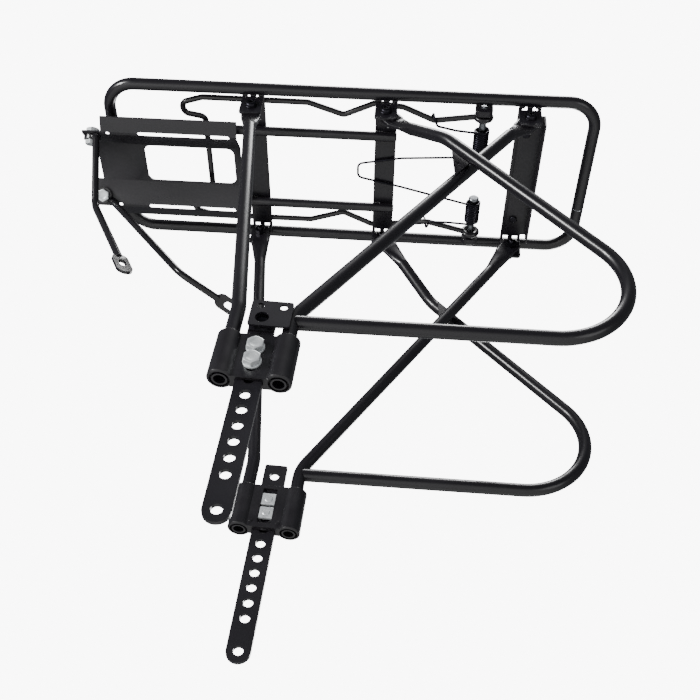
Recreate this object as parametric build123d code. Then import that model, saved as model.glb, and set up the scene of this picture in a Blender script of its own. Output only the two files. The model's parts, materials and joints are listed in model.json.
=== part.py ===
from build123d import *
import math
import os

os.makedirs("parts", exist_ok=True)

# The origin is midway between the two axle eyes. +X points to the rear of the bicycle,
# +Y to its right and +Z up. One side is modelled at +Y, and the other is its mirror image.

# Platform
rail_height = 425.0  # rail centreline above the axle eyes
rail_spacing = 150.0
platform_front_x = -166.0
platform_length = 408.0
corner_radius = 24.0
tube_diameter = 10.0
tube_wall = 1.2
loop_joint_y = 31.0
loop_joint_gap = 1.0
joiner_length = 40.0
joiner_clearance = 0.1
rod_diameter = 8.0
rod_spacing = 75.2
rod_rear_overhang = 0.5
rod_front_gap = 1.0

# Cross plates, with their ends bent down inside the rails
plate_thickness = 2.0
plate_width = 18.0
front_plate_centre_x = -41.0
mid_plate_centre_x = 70.0
rear_plate_centre_x = 187.0
plate_centres = {
    "front": front_plate_centre_x,
    "mid": mid_plate_centre_x,
    "rear": rear_plate_centre_x,
}
weld_gap = 0.2
tab_drop = 27.0
tab_notch_size = 4.5
tab_notch_pitch = 8.5
tab_corner_radius = 3.0

# Fitting bolts that hold the legs to the plate ends (M5)
fitting_bolt_drop = 16.0  # bolt centre below the rail centreline
fitting_bolt_diameter = 5.0
fitting_head_diameter = 9.5
fitting_head_height = 2.75
fitting_socket_width = 3.0
fitting_nut_width = 8.0
fitting_nut_height = 4.0
fitting_washer_diameter = 10.0
fitting_washer_thickness = 1.0
bolt_hole_clearance = 0.5
bolt_end_overhang = 2.0

# Legs: tubes with flattened tops
flat_width = 16.0
flat_thickness = 4.0
flat_reach = 13.0
neck_length = 20.0
leg_y = 80.3
leg_top_y = 71.0
socket_spacing = 36.5
leg_lean = 2.2  # degrees that the leg ends lean back from the axle eyes
front_bend_rise = 26.0  # bends and hoop above the top of the leg bracket
diagonal_bend_rise = 21.0
leg_bend_radius = 30.0

# Pannier hoops
hoop_bottom_rise = 16.0
hoop_rear_corner_x = 304.0
hoop_bend_radius = 50.0
hoop_shoulder_radius = 40.0
hoop_shoulder_x = 118.0
hoop_shoulder_height = 351.0
hoop_outer_y = 86.2
weld_clearance = 0.2
gusset_size = 20.0
gusset_thickness = 2.4
gusset_hole_diameter = 2.2
gusset_hole_reach = 6.0
gusset_hole_pitch = 3.5
gusset_hole_offset = 6.8

# Leg brackets and perforated strips
bracket_bottom_margin = 13.0  # below the lower strip bolt
bracket_top_margin = 12.0  # above the upper strip bolt
socket_diameter = 16.6
socket_clearance = 0.1
socket_chamfer = 0.8
socket_recess_diameter = 13.0
socket_recess_depth = 3.0
inner_web_thickness = 4.0
outer_web_thickness = 2.2
pip_diameter = 2.5
pip_height = 0.6
strip_width = 17.0
strip_thickness = 3.0
strip_gap = 0.2
strip_top_reach = 10.5
strip_corner_radius = 1.5
hole_pitch = 12.0
hole_diameter = 7.0
first_upper_hole = 2
last_upper_hole = 12
bolt_hole_numbers = (9, 10)
strip_travel = 4.0
strip_bolt_diameter = 6.0
strip_head_width = 10.0
strip_head_height = 4.0
strip_nut_width = 9.8
strip_nut_height = 2.2
nut_recess_depth = 2.4
nut_recess_clearance = 0.3
strip_washer_diameter = 12.0
strip_washer_thickness = 1.6
slot_side_clearance = 0.35
slide_gap = 0.1
bolt_tip_overhang = 0.4

# Accessory plate on the top of the left strip
accessory_width = 27.0
accessory_height = 22.5
accessory_offset = 5.0
accessory_y = 86.5
accessory_thickness = 1.6
accessory_neck_width = 15.0
accessory_hole_diameter = 5.0
access_clearance = 0.5
accessory_hole_spacing = 15.0
accessory_screw_diameter = 4.0
accessory_head_diameter = 8.0
accessory_head_height = 2.2

# Front plate, folded from sheet
front_plate_thickness = 1.5
front_plate_front_x = -188.0  # front of the two ears that carry the stay arms
front_plate_length = 133.0
ridge_front_x = -182.0
flange_front_x = -172.0
ridge_half_width = 20.0
valley_y = 37.0
valley_floor = 2.5
valley_drop = 13.0
flange_outer_y = 51.0
flange_rise = 5.0
window_length = 79.0
window_width = 37.0
window_radius = 6.0
window_rear_margin = 6.0
valley_slot_width = 4.0
small_hole_diameter = 3.5

# Stay arms
arm_diameter = 6.0
arm_bolt_x = -181.0
arm_bolt_y = 31.5
arm_bolt_diameter = 6.0
arm_head_width = 10.0
arm_head_height = 4.0
arm_nut_height = 5.0
arm_eye_diameter = 14.0
arm_eye_thickness = 3.0
arm_eye_gap = 0.3
arm_eye_lead = 10.0
arm_end_width = 12.5
arm_end_thickness = 2.6
arm_end_length = 28.0
arm_slot_length = 10.0
arm_slot_width = 5.5
arm_end_roll = {"left": 0.0, "right": 0.0}  # degrees that the flat end is turned about the rod
arm_eye_bend = 4.0
arm_knee_bend = 18.0
arm_swing = {"left": 56.0, "right": 33.0}  # degrees from the rearward direction
arm_pitch = {"left": 76.0, "right": 42.0}  # degrees that the rod is bent out of its eye
arm_knee_reach = {"left": 66.0, "right": 132.0}
arm_knee_angle = {"left": -40.0, "right": -55.0}
arm_tip_reach = {"left": 92.0, "right": 38.0}

# Spring clamp on top of the platform
clamp_wire = 5.0
clamp_plate_gap = 0.5
pivot_x = 150.0
pivot_drop = 4.0
pin_diameter = 6.0
pin_clearance = 0.3
pin_inner_y = 25.0
pin_head_diameter = 9.0
pin_head_length = 3.0
eye_y = 60.5
lug_length = 14.0
lug_height = 17.0
lug_inner_y = 64.6
lug_hole_clearance = 0.05
clamp_bend_radius = 7.0
kink_x = 110.0  # inward kink that the spring's legs hook round
kink_y = 53.5
kink_rise = 2.5
hook_bend_radius = 6.0

# Torsion spring
spring_wire = 2.0
coil_diameter = 13.0
coil_outer_y = 50.0
coil_turns = 11
spring_tip_x = 47.0
spring_tip_half_width = 7.0
spring_waist_x = 84.0
spring_waist_y = 15.0
spring_leg_y = 24.0

# Rear lamp bracket
lamp_sheet = 1.5
lamp_leaf_depth = 20.0
lamp_flange_drop = 14.0
lamp_half_width = 62.0
lamp_hole_spacing = 50.0
lamp_hole_diameter = 5.5
lamp_screw_spacing = 90.0
lamp_screw_diameter = 4.0
lamp_head_diameter = 7.0
lamp_head_height = 2.0

# Places that follow from the sizes above
rail_y = rail_spacing / 2
platform_rear_x = platform_front_x + platform_length
tube_radius = tube_diameter / 2
tube_bore = tube_diameter - 2 * tube_wall
rod_radius = rod_diameter / 2
rod_y = rod_spacing / 2
rod_height = rail_height - tube_radius
plate_bottom = rod_height + rod_radius
plate_top = plate_bottom + plate_thickness
tab_outer_y = rail_y - tube_radius - weld_gap
tab_inner_y = tab_outer_y - plate_thickness
flat_y = tab_inner_y - flat_thickness / 2
fitting_height = rail_height - fitting_bolt_drop
front_socket_x = -socket_spacing / 2
rear_socket_x = socket_spacing / 2
strip_inner_y = leg_y - strip_thickness / 2
strip_outer_y = strip_inner_y + strip_thickness
web_inner_y = strip_inner_y - strip_gap - inner_web_thickness
web_outer_y = strip_outer_y + strip_gap + outer_web_thickness
strip_top_hole = last_upper_hole * hole_pitch
strip_bolt_heights = [number * hole_pitch for number in bolt_hole_numbers]
bracket_base_height = min(strip_bolt_heights) - bracket_bottom_margin
bracket_top = max(strip_bolt_heights) + bracket_top_margin
bracket_height = bracket_top - bracket_base_height
front_bend_height = bracket_top + front_bend_rise
diagonal_bend_height = bracket_top + diagonal_bend_rise
hoop_bottom_height = bracket_top + hoop_bottom_rise
ridge_top = rail_height - tube_radius - weld_gap
valley_top = ridge_top - valley_drop
slope_angle = math.degrees(math.atan2(valley_drop, valley_y - ridge_half_width))
pivot_height = rail_height - pivot_drop
kink_height = pivot_height + kink_rise
clamp_height = plate_top + clamp_plate_gap + clamp_wire / 2
coil_radius = coil_diameter / 2
spring_wire_radius = spring_wire / 2


def bent_path(points, radii):
    """A path through the points, with each inner corner rounded to its radius."""
    points = [Vector(*point) for point in points]
    edges = []
    start = points[0]
    for before, corner, after, radius in zip(points, points[1:], points[2:], radii):
        into = (corner - before).normalized()
        away = (after - corner).normalized()
        turn = math.radians(into.get_angle(away))
        setback = radius * math.tan(turn / 2)
        bend_start = corner - into * setback
        bend_end = corner + away * setback
        depth = radius / math.cos(turn / 2) - radius
        middle = corner + (away - into).normalized() * depth
        edges.append(Edge.make_line(start, bend_start))
        edges.append(Edge.make_three_point_arc(bend_start, middle, bend_end))
        start = bend_end
    edges.append(Edge.make_line(start, points[-1]))
    return Wire(edges)


def rod(path, diameter):
    """A round bar along a path."""
    section = Plane(origin=path @ 0, z_dir=path % 0) * Circle(diameter / 2)
    return sweep(section, path=path)


def tube(path):
    """A tube of the rack's stock size along a path, open at both ends."""
    return rod(path, tube_diameter) - rod(path, tube_bore)


def across(x, y, z, direction=1):
    """A plane at a point whose normal runs along Y."""
    return Plane(origin=(x, y, z), x_dir=(1, 0, 0), z_dir=(0, direction, 0))


def cylinder_y(x, z, diameter, y_from, y_to):
    """A round bar along Y between two places."""
    return across(x, min(y_from, y_to), z) * extrude(Circle(diameter / 2), abs(y_to - y_from))


def hexagon_y(x, z, width, y_from, y_to):
    """A hexagon bar along Y, given its width across the flats."""
    outline = RegularPolygon(width / math.sqrt(3), 6)
    return across(x, min(y_from, y_to), z) * extrude(outline, abs(y_to - y_from))


def leaned(shape):
    """Turns a leg end about the line through the axle eyes."""
    return Rot(0, leg_lean, 0) * shape


def leaned_point(x, y, z):
    lean = math.radians(leg_lean)
    return (x * math.cos(lean) + z * math.sin(lean), y, z * math.cos(lean) - x * math.sin(lean))


def mirrored(shape):
    return mirror(shape, about=Plane.XZ)


def save(name, shape):
    export_step(shape, f"parts/{name}.step")


def save_pair(name, shape):
    """Saves a piece of the right side and its mirror image on the left."""
    save(f"{name}_right", shape)
    save(f"{name}_left", mirrored(shape))


def group(pieces):
    """Keeps identical pieces as separate solids in one node."""
    return Compound(children=[solid for piece in pieces for solid in piece.solids()])


def both_sides(pieces):
    return pieces + [mirrored(piece) for piece in pieces]


def flattened_leg(points, radii, bolt_x):
    """A tube whose top is pressed flat and bolted to a plate end at bolt_x."""
    before = Vector(*points[-1])
    bolt = Vector(bolt_x, flat_y, fitting_height)
    rise = Vector(bolt.X - before.X, 0, bolt.Z - before.Z).normalized()
    flat_start = bolt - rise * flat_reach
    tube_end = flat_start - rise * neck_length
    tube_end = Vector(tube_end.X, leg_top_y, tube_end.Z)
    path = bent_path(points + [tube_end], radii)
    wide = Vector(rise.Z, 0, -rise.X)
    round_plane = Plane(origin=tube_end, x_dir=wide, z_dir=path % 1)
    flat_plane = Plane(origin=flat_start, x_dir=wide, z_dir=rise)
    flat_outline = RectangleRounded(flat_width, flat_thickness, flat_thickness * 0.45)
    neck = loft([round_plane * Circle(tube_radius), flat_plane * flat_outline])
    flat_face_plane = Plane(
        origin=(bolt.X, flat_y - flat_thickness / 2, bolt.Z), x_dir=rise, z_dir=(0, 1, 0)
    )
    outline = Circle(flat_width / 2)
    outline += Pos(-flat_reach / 2, 0) * Rectangle(flat_reach, flat_width)
    outline -= Circle((fitting_bolt_diameter + bolt_hole_clearance) / 2)
    flat = flat_face_plane * extrude(outline, flat_thickness)
    return tube(path) + neck + flat


def top_loop():
    rear_y = loop_joint_y
    points = [
        (platform_rear_x, rear_y, rail_height),
        (platform_rear_x, rail_y, rail_height),
        (platform_front_x, rail_y, rail_height),
        (platform_front_x, -rail_y, rail_height),
        (platform_rear_x, -rail_y, rail_height),
        (platform_rear_x, rear_y - loop_joint_gap, rail_height),
    ]
    return tube(bent_path(points, [corner_radius] * 4))


def loop_joiner():
    middle = loop_joint_y - loop_joint_gap / 2
    sleeve_diameter = tube_bore - 2 * joiner_clearance
    collar_half = loop_joint_gap / 2 - joiner_clearance
    sleeve = cylinder_y(
        platform_rear_x,
        rail_height,
        sleeve_diameter,
        middle - joiner_length / 2,
        middle + joiner_length / 2,
    )
    collar = cylinder_y(
        platform_rear_x, rail_height, tube_diameter, middle - collar_half, middle + collar_half
    )
    return sleeve + collar


def inner_rod():
    front_x = platform_front_x + tube_radius + rod_front_gap
    rear_x = mid_plate_centre_x + plate_width / 2 + rod_rear_overhang
    bar = Plane(origin=(front_x, rod_y, rod_height), z_dir=(1, 0, 0)) * extrude(
        Circle(rod_radius), rear_x - front_x
    )
    return chamfer(bar.edges().filter_by(GeomType.CIRCLE), 1)


def cross_plate(centre_x):
    sheet = Pos(centre_x, 0, (plate_bottom + plate_top) / 2) * Box(
        plate_width, 2 * tab_outer_y, plate_thickness
    )
    tab_height = tab_drop + plate_top - rail_height
    tab = Pos(centre_x, (tab_inner_y + tab_outer_y) / 2, plate_top - tab_height / 2) * Box(
        plate_width, plate_thickness, tab_height
    )
    tab = fillet(tab.edges().filter_by(Axis.Y).group_by(Axis.Z)[0], tab_corner_radius)
    tab -= cylinder_y(
        centre_x,
        fitting_height,
        fitting_bolt_diameter + bolt_hole_clearance,
        tab_inner_y - 1,
        tab_outer_y + 1,
    )
    plate = sheet + tab + mirrored(tab)
    outer_edges = plate.edges().filter_by(Axis.X).group_by(Axis.Z)[-1]
    plate = fillet(outer_edges, plate_thickness * 0.9)
    for end in (-1, 1):
        for offset in (-tab_notch_pitch / 2, tab_notch_pitch / 2):
            plate -= Pos(centre_x + offset, end * tab_outer_y, plate_top - tab_notch_size / 2) * Box(
                tab_notch_size, 2 * tab_notch_size, 2 * tab_notch_size
            )
    return plate


def front_plate():
    """The folded sheet at the front: a raised ridge, a valley each side and a rising flange."""
    half = [
        (0, ridge_top),
        (ridge_half_width, ridge_top),
        (valley_y, valley_top),
        (valley_y + valley_floor, valley_top),
        (flange_outer_y, valley_top + flange_rise),
    ]
    upper = [(-y, z) for y, z in reversed(half[1:])] + half
    lower = [(y, z - front_plate_thickness) for y, z in reversed(upper)]
    outline = make_face(Polyline(*upper, *lower, close=True))
    sheet = Plane.YZ.offset(front_plate_front_x) * extrude(outline, front_plate_length)
    rear_x = front_plate_front_x + front_plate_length
    middle_x = rear_x - window_rear_margin - window_length / 2
    cut_base = valley_top - 3 * front_plate_thickness
    cut_height = valley_drop + 6 * front_plate_thickness
    window = Pos(middle_x, 0, cut_base) * extrude(
        RectangleRounded(window_length, window_width, window_radius), cut_height
    )
    sheet -= window
    sheet -= Pos(front_plate_front_x, 0, cut_base + cut_height / 2) * Box(
        2 * (ridge_front_x - front_plate_front_x), 2 * ridge_half_width, cut_height
    )
    slot_y = valley_y + valley_floor / 2
    for side in (-1, 1):
        slot = extrude(SlotOverall(window_length, valley_slot_width), cut_height)
        sheet -= Pos(middle_x, side * slot_y, cut_base) * slot
        flange_inner_y = valley_y + valley_floor
        ear_cut = flange_front_x - front_plate_front_x
        sheet -= Pos(front_plate_front_x, side * (flange_inner_y + ear_cut), cut_base + cut_height / 2) * Box(
            2 * ear_cut, 2 * ear_cut, cut_height
        )
        small_hole = extrude(Circle(small_hole_diameter / 2), cut_height)
        sheet -= Pos(platform_front_x, side * (slot_y - 0.5), cut_base) * small_hole
        bolt_hole = Cylinder((arm_bolt_diameter + bolt_hole_clearance) / 2, 8 * front_plate_thickness)
        sheet -= wing_plane(side) * bolt_hole
    return sheet


def wing_plane(side):
    """The plane of a wing's underside at its stay arm bolt, with its normal pointing down."""
    fall = (arm_bolt_y - ridge_half_width) / (valley_y - ridge_half_width)
    bolt_z = ridge_top - valley_drop * fall - front_plate_thickness
    slope = math.radians(slope_angle)
    normal = (0, -side * math.sin(slope), -math.cos(slope))
    return Plane(origin=(arm_bolt_x, side * arm_bolt_y, bolt_z), x_dir=(1, 0, 0), z_dir=normal)


def stay_arm(name, side):
    """A rod with a flat eye at the plate and a slotted flat end for the seat stay."""
    wing = wing_plane(side)
    normal = wing.z_dir
    downhill = Vector(0, side * math.cos(math.radians(slope_angle)), -math.sin(math.radians(slope_angle)))
    swing = math.radians(arm_swing[name])
    outward = Vector(math.cos(swing), 0, 0) + downhill * math.sin(swing)

    def heading(angle):
        angle = math.radians(angle)
        return outward * math.cos(angle) + normal * math.sin(angle)

    centre = wing.origin + normal * (arm_eye_gap + arm_eye_thickness / 2)
    lead = centre + outward * arm_eye_lead
    knee = lead + heading(arm_pitch[name]) * arm_knee_reach[name]
    along = heading(arm_pitch[name] + arm_knee_angle[name])
    tip = knee + along * arm_tip_reach[name]
    rod_start = centre + outward * (arm_eye_diameter / 2 - 2)
    path = bent_path([rod_start, lead, knee, tip], [arm_eye_bend, arm_knee_bend])
    arm = rod(path, arm_diameter)
    flat_half = Plane(origin=centre, x_dir=outward, z_dir=normal)
    trim = flat_half * Pos(0, 0, arm_eye_thickness / 2 + arm_diameter) * Cylinder(
        arm_eye_diameter / 2 - 0.5, 2 * arm_diameter
    )
    inner_trim = flat_half * Pos(0, 0, -arm_eye_thickness / 2 - arm_diameter) * Box(
        4 * arm_eye_diameter, 4 * arm_eye_diameter, 2 * arm_diameter
    )
    arm = arm - trim - inner_trim
    eye = flat_half * extrude(Circle(arm_eye_diameter / 2), arm_eye_thickness / 2, both=True)
    arm += eye
    arm -= flat_half * Cylinder((arm_bolt_diameter + bolt_hole_clearance) / 2, 4 * arm_eye_thickness)
    cross = along.cross(normal).normalized()
    end_normal = cross.cross(along).normalized().rotate(Axis((0, 0, 0), along), arm_end_roll[name])
    end_plane = Plane(origin=tip + along * (arm_end_length / 2 - 3), x_dir=along, z_dir=end_normal)
    end_outline = SlotOverall(arm_end_length, arm_end_width) - SlotOverall(arm_slot_length, arm_slot_width)
    end = end_plane * extrude(end_outline, arm_end_thickness / 2, both=True)
    arm -= end_plane * extrude(SlotOverall(arm_slot_length, arm_slot_width), arm_diameter, both=True)
    return arm + end


def stay_bolt(side):
    eye_outer = arm_eye_gap + arm_eye_thickness + arm_eye_gap
    nut_start = front_plate_thickness + arm_eye_gap
    wing = wing_plane(side)
    head = Pos(0, 0, eye_outer) * extrude(RegularPolygon(arm_head_width / math.sqrt(3), 6), arm_head_height)
    shank_length = eye_outer + nut_start + arm_nut_height + 1
    shank = Pos(0, 0, eye_outer - shank_length) * extrude(Circle(arm_bolt_diameter / 2), shank_length)
    return wing * (head + shank)


def stay_nut(side):
    nut_start = front_plate_thickness + arm_eye_gap
    outline = RegularPolygon(arm_head_width / math.sqrt(3), 6) - Circle(arm_bolt_diameter / 2 + 0.05)
    return wing_plane(side) * Pos(0, 0, -nut_start - arm_nut_height) * extrude(outline, arm_nut_height)


def front_strut():
    points = [
        leaned_point(front_socket_x, leg_y, bracket_base_height),
        leaned_point(front_socket_x, leg_y, front_bend_height),
    ]
    return flattened_leg(points, [leg_bend_radius], front_plate_centre_x)


def diagonal_points():
    return [
        leaned_point(rear_socket_x, leg_y, bracket_base_height),
        leaned_point(rear_socket_x, leg_y, diagonal_bend_height),
    ]


def diagonal_strut():
    return flattened_leg(diagonal_points(), [leg_bend_radius], rear_plate_centre_x)


def pannier_hoop():
    """The side hoop. Its lower end is coped to the diagonal strut that it is welded to."""
    start_x = leaned_point(rear_socket_x, leg_y, hoop_bottom_height)[0]
    points = [
        (start_x, leg_y, hoop_bottom_height),
        (hoop_rear_corner_x, leg_y, hoop_bottom_height),
        (hoop_shoulder_x, hoop_outer_y, hoop_shoulder_height),
    ]
    hoop = flattened_leg(points, [hoop_bend_radius, hoop_shoulder_radius], mid_plate_centre_x)
    strut_end = (rear_plate_centre_x, leg_top_y, fitting_height)
    strut_path = bent_path(diagonal_points() + [strut_end], [leg_bend_radius])
    hoop -= rod(strut_path, tube_diameter + 2 * weld_clearance)
    return hoop.solids().sort_by(SortBy.VOLUME)[-1]


def crossing_lines():
    """Where the diagonal strut and the hoop cross when seen from the side, and their directions."""
    strut_base = Vector(*diagonal_points()[1])
    strut_rise = Vector(rear_plate_centre_x, strut_base.Y, fitting_height) - strut_base
    hoop_base = Vector(hoop_rear_corner_x, strut_base.Y, hoop_bottom_height)
    hoop_rise = Vector(hoop_shoulder_x, strut_base.Y, hoop_shoulder_height) - hoop_base
    gap = hoop_base - strut_base
    share = (gap.X * hoop_rise.Z - gap.Z * hoop_rise.X) / (
        strut_rise.X * hoop_rise.Z - strut_rise.Z * hoop_rise.X
    )
    return strut_base + strut_rise * share, strut_rise.normalized(), hoop_rise.normalized()


def crossing_gusset(diagonal, hoop):
    """A small plate in the front corner where the hoop crosses the diagonal strut."""
    crossing, strut_rise, hoop_rise = crossing_lines()
    middle_y = (leg_top_y + hoop_outer_y) / 2
    plane = Plane(origin=(crossing.X, middle_y, crossing.Z), x_dir=(1, 0, 0), z_dir=(0, -1, 0))
    hoop_side = Vector(hoop_rise.X, hoop_rise.Z)
    strut_side = Vector(-strut_rise.X, -strut_rise.Z)
    inward = Vector(strut_side.Y, -strut_side.X)
    hoop_end = hoop_side * gusset_size
    strut_end = strut_side * gusset_size
    outline = make_face(Polyline((0, 0), (hoop_end.X, hoop_end.Y), (strut_end.X, strut_end.Y), close=True))
    for reach in (gusset_hole_reach, gusset_hole_reach + gusset_hole_pitch):
        place = strut_side * reach + inward * gusset_hole_offset
        outline -= Pos(place.X, place.Y) * Circle(gusset_hole_diameter / 2)
    plate = plane * extrude(outline, gusset_thickness / 2, both=True)
    plate = plate - diagonal - hoop
    return plate.solids().sort_by(SortBy.VOLUME)[-1]


def slot_plate(y_from, y_to, width):
    """A cutter along Y for the slots that the strip bolts and nuts move in."""
    top = max(strip_bolt_heights) + strip_travel + width / 2
    bottom = min(strip_bolt_heights) - strip_travel - width / 2
    slot = SlotOverall(top - bottom, width, rotation=90)
    return across(0, y_from, (top + bottom) / 2) * extrude(slot, y_to - y_from)


def leg_bracket():
    """Two sockets joined by an inner and an outer web, with the strip's channel between the webs."""
    middle = bracket_base_height + bracket_height / 2
    body = None
    for socket_x in (front_socket_x, rear_socket_x):
        barrel = Pos(socket_x, leg_y, bracket_base_height) * extrude(
            Circle(socket_diameter / 2), bracket_height
        )
        barrel = chamfer(barrel.edges().filter_by(GeomType.CIRCLE), socket_chamfer)
        body = barrel if body is None else body + barrel
    body += Pos(0, (web_inner_y + web_outer_y) / 2, middle) * Box(
        socket_spacing, web_outer_y - web_inner_y, bracket_height
    )
    channel_thickness = strip_thickness + 2 * strip_gap
    body -= Pos(0, leg_y, middle) * Box(
        strip_width + 2 * strip_gap, channel_thickness, bracket_height + 2
    )
    for socket_x in (front_socket_x, rear_socket_x):
        bore = Circle(tube_radius + socket_clearance)
        body -= Pos(socket_x, leg_y, bracket_base_height) * extrude(bore, bracket_height)
        recess = Circle(socket_recess_diameter / 2)
        body -= Pos(socket_x, leg_y, bracket_base_height) * extrude(recess, socket_recess_depth)
    slot_width = strip_bolt_diameter + 2 * slot_side_clearance
    body -= slot_plate(web_inner_y - 1, web_outer_y + 1, slot_width)
    recess_width = strip_nut_width + 2 * nut_recess_clearance
    recess_height = max(strip_bolt_heights) - min(strip_bolt_heights) + 2 * strip_travel + recess_width
    body -= Pos(0, web_inner_y, sum(strip_bolt_heights) / 2) * Box(
        recess_width, 2 * nut_recess_depth, recess_height
    )
    pip_z = bracket_base_height + pip_diameter * 2
    pip_top_y = web_inner_y - pip_height
    for pip_x in (front_socket_x / 2 - 1, rear_socket_x / 2 + 1):
        body += cylinder_y(pip_x, pip_z, pip_diameter, pip_top_y, web_inner_y + 1)
    return body


def leg_strip():
    hole_numbers = [0] + list(range(first_upper_hole, last_upper_hole + 1))
    top = strip_top_hole + strip_top_reach
    bar = Pos(0, -top / 2) * Rectangle(strip_width, top)
    bar = fillet(bar.vertices().group_by(Axis.Y)[0], strip_corner_radius)
    outline = bar + Circle(strip_width / 2)
    for number in hole_numbers:
        outline -= Pos(0, -number * hole_pitch) * Circle(hole_diameter / 2)
    return across(0, strip_inner_y, 0) * extrude(outline, strip_thickness)


def strip_bolt(height):
    head_base = web_outer_y + slide_gap + strip_washer_thickness
    tail_y = web_inner_y - bolt_tip_overhang
    head = hexagon_y(0, height, strip_head_width, head_base, head_base + strip_head_height)
    return head + cylinder_y(0, height, strip_bolt_diameter, tail_y, head_base)


def strip_washer(height):
    base = web_outer_y + slide_gap
    ring = cylinder_y(0, height, strip_washer_diameter, base, base + strip_washer_thickness)
    bore = strip_bolt_diameter + bolt_hole_clearance
    return ring - cylinder_y(0, height, bore, base - 1, base + strip_washer_thickness + 1)


def strip_nut(height):
    """A square nut plate that slides in the recess of the inner web."""
    inner_y = web_inner_y + slide_gap
    nut = Pos(0, inner_y + strip_nut_height / 2, height) * Box(
        strip_nut_width, strip_nut_height, strip_nut_width
    )
    bore = strip_bolt_diameter + 0.1
    return nut - cylinder_y(0, height, bore, inner_y - 1, inner_y + strip_nut_height + 1)


def fitting_bolt(x):
    """A button head bolt from outside through the plate end and the flattened tube."""
    head_base = tab_outer_y + fitting_washer_thickness
    tail_y = flat_y - flat_thickness / 2 - fitting_nut_height - bolt_end_overhang
    head_top = head_base + fitting_head_height
    head = cylinder_y(x, fitting_height, fitting_head_diameter, head_base, head_top)
    head = fillet(head.edges().group_by(Axis.Y)[-1], fitting_head_height * 0.75)
    socket_base = head_top - fitting_head_height * 0.6
    head -= hexagon_y(x, fitting_height, fitting_socket_width, socket_base, head_top + 1)
    return head + cylinder_y(x, fitting_height, fitting_bolt_diameter, tail_y, head_base)


def fitting_washer(x):
    top = tab_outer_y + fitting_washer_thickness
    ring = cylinder_y(x, fitting_height, fitting_washer_diameter, tab_outer_y, top)
    bore = fitting_bolt_diameter + bolt_hole_clearance
    return ring - cylinder_y(x, fitting_height, bore, tab_outer_y - 1, top + 1)


def fitting_nut(x):
    outer_y = flat_y - flat_thickness / 2
    inner_y = outer_y - fitting_nut_height
    nut = hexagon_y(x, fitting_height, fitting_nut_width, inner_y, outer_y)
    return nut - cylinder_y(x, fitting_height, fitting_bolt_diameter + 0.1, inner_y - 1, outer_y + 1)


def accessory_plate():
    """A small joggled plate screwed to the top hole of the left strip."""
    neck_base_y = strip_outer_y + weld_gap
    neck_bottom = bracket_top + strip_travel + 0.4
    wide_bottom = bracket_top + strip_travel + 0.6
    neck_top = strip_top_hole + accessory_head_diameter / 2 + 1 + accessory_thickness
    neck = Pos(0, -(neck_bottom + neck_top) / 2) * Rectangle(accessory_neck_width, neck_top - neck_bottom)
    neck -= Pos(0, -strip_top_hole) * Circle((accessory_screw_diameter + bolt_hole_clearance) / 2)
    plate = across(0, neck_base_y, 0) * extrude(neck, accessory_thickness)
    shelf_depth = accessory_y + accessory_thickness - neck_base_y
    plate += Pos(0, neck_base_y + shelf_depth / 2, neck_top - accessory_thickness / 2) * Box(
        accessory_neck_width, shelf_depth, accessory_thickness
    )
    wide = RectangleRounded(accessory_width, accessory_height, 2)
    for offset in (-accessory_hole_spacing / 2, accessory_hole_spacing / 2):
        hole = Circle(accessory_hole_diameter / 2)
        wide -= Pos(offset, accessory_hole_diameter - accessory_height / 2) * hole
    wide_middle = wide_bottom + accessory_height / 2
    access_hole = Circle(accessory_head_diameter / 2 + access_clearance)
    wide -= Pos(-accessory_offset, wide_middle - strip_top_hole) * access_hole
    wide_plane = across(accessory_offset, accessory_y, wide_middle)
    plate += wide_plane * extrude(wide, accessory_thickness)
    return mirrored(plate)


def accessory_screw():
    """A pan head screw with its nut behind the strip."""
    base = strip_outer_y + weld_gap + accessory_thickness
    head = cylinder_y(0, strip_top_hole, accessory_head_diameter, base, base + accessory_head_height)
    head = fillet(head.edges().group_by(Axis.Y)[-1], accessory_head_height * 0.6)
    tail_y = strip_inner_y - fitting_nut_height - 1
    shank = cylinder_y(0, strip_top_hole, accessory_screw_diameter, tail_y, base)
    nut = hexagon_y(
        0, strip_top_hole, fitting_nut_width, strip_inner_y - fitting_nut_height, strip_inner_y
    )
    return mirrored(head + shank + nut)


def clamp():
    """The bent wire that holds luggage down on the platform."""
    half = [
        (pivot_x - pin_diameter / 2 - pin_clearance - clamp_wire / 2, eye_y, pivot_height),
        (kink_x, kink_y, kink_height),
        (mid_plate_centre_x + 14, eye_y + 1, clamp_height),
        (mid_plate_centre_x - 10, eye_y + 3.5, clamp_height),
        (mid_plate_centre_x - 36, eye_y - 9, clamp_height),
        (mid_plate_centre_x - 66, eye_y + 1.5, clamp_height),
        (front_plate_centre_x - 45, eye_y + 2, clamp_height),
        (front_plate_centre_x - 64, eye_y - 4, clamp_height),
        (front_plate_centre_x - 61, eye_y - 14, clamp_height),
        (front_plate_centre_x - 44, eye_y - 17, clamp_height),
    ]
    half_radii = [clamp_bend_radius] * 6 + [hook_bend_radius] * 3
    cross_bar_turn = 5.0
    other = [(x, -y, z) for x, y, z in reversed(half)]
    radii = half_radii[:-1] + [cross_bar_turn] + [cross_bar_turn] + half_radii[:-1][::-1]
    path = bent_path(half + other, radii)
    wire = rod(path, clamp_wire)
    ring_radius = pin_diameter / 2 + pin_clearance + clamp_wire / 2
    for side in (-1, 1):
        ring = across(pivot_x, side * eye_y, pivot_height) * Torus(ring_radius, clamp_wire / 2)
        wire += ring
    return wire


def pivot_pin():
    """A headed pin through the rail lug, carrying the clamp eye and the spring coil."""
    pin = cylinder_y(pivot_x, pivot_height, pin_diameter, pin_inner_y, tab_outer_y)
    head = cylinder_y(
        pivot_x, pivot_height, pin_head_diameter, pin_inner_y - pin_head_length, pin_inner_y
    )
    return pin + chamfer(head.edges().group_by(Axis.Y)[0], 1)


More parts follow.
